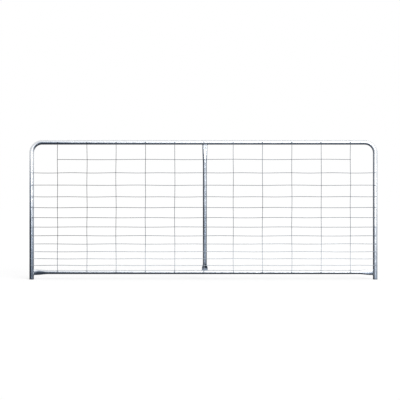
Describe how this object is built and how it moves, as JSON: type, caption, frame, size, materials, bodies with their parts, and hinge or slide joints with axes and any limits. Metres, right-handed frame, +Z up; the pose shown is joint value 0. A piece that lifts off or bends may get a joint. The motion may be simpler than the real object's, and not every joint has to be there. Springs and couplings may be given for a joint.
{
  "type": "field gate",
  "caption": "Galvanised welded field gate with a bent tube frame, a centre stay, a bottom rail with pressed ends and graduated welded wire mesh.",
  "frame": {"origin": "centre of the left stile's foot, on its open end face, seen from the mesh side", "axes": "+X along the gate to the right stile, +Y from the mesh side to the back, +Z up along the stiles"},
  "size_m": [2.925, 0.047, 1.17],
  "materials": {
    "galvanised_tube": "hot-dip galvanised, silver-grey with a faint spangle",
    "galvanised_wire": "galvanised wire, pale matt grey",
    "weld_metal": "weld beads under the zinc coating, rippled and duller than the tube"
  },
  "bodies": {
    "root": {"frame_tube": "galvanised_tube", "bottom_rail": "galvanised_tube", "centre_stay": "galvanised_tube", "wire_mesh": "galvanised_wire", "rail_weld_left": "weld_metal", "rail_weld_right": "weld_metal", "stay_weld_top": "weld_metal", "stay_weld_foot": "weld_metal", "tacks_top_rail": "weld_metal", "tacks_bottom_rail": "weld_metal", "tacks_left_stile": "weld_metal", "tacks_right_stile": "weld_metal", "tacks_centre_stay": "weld_metal"}
  },
  "joints": []
}
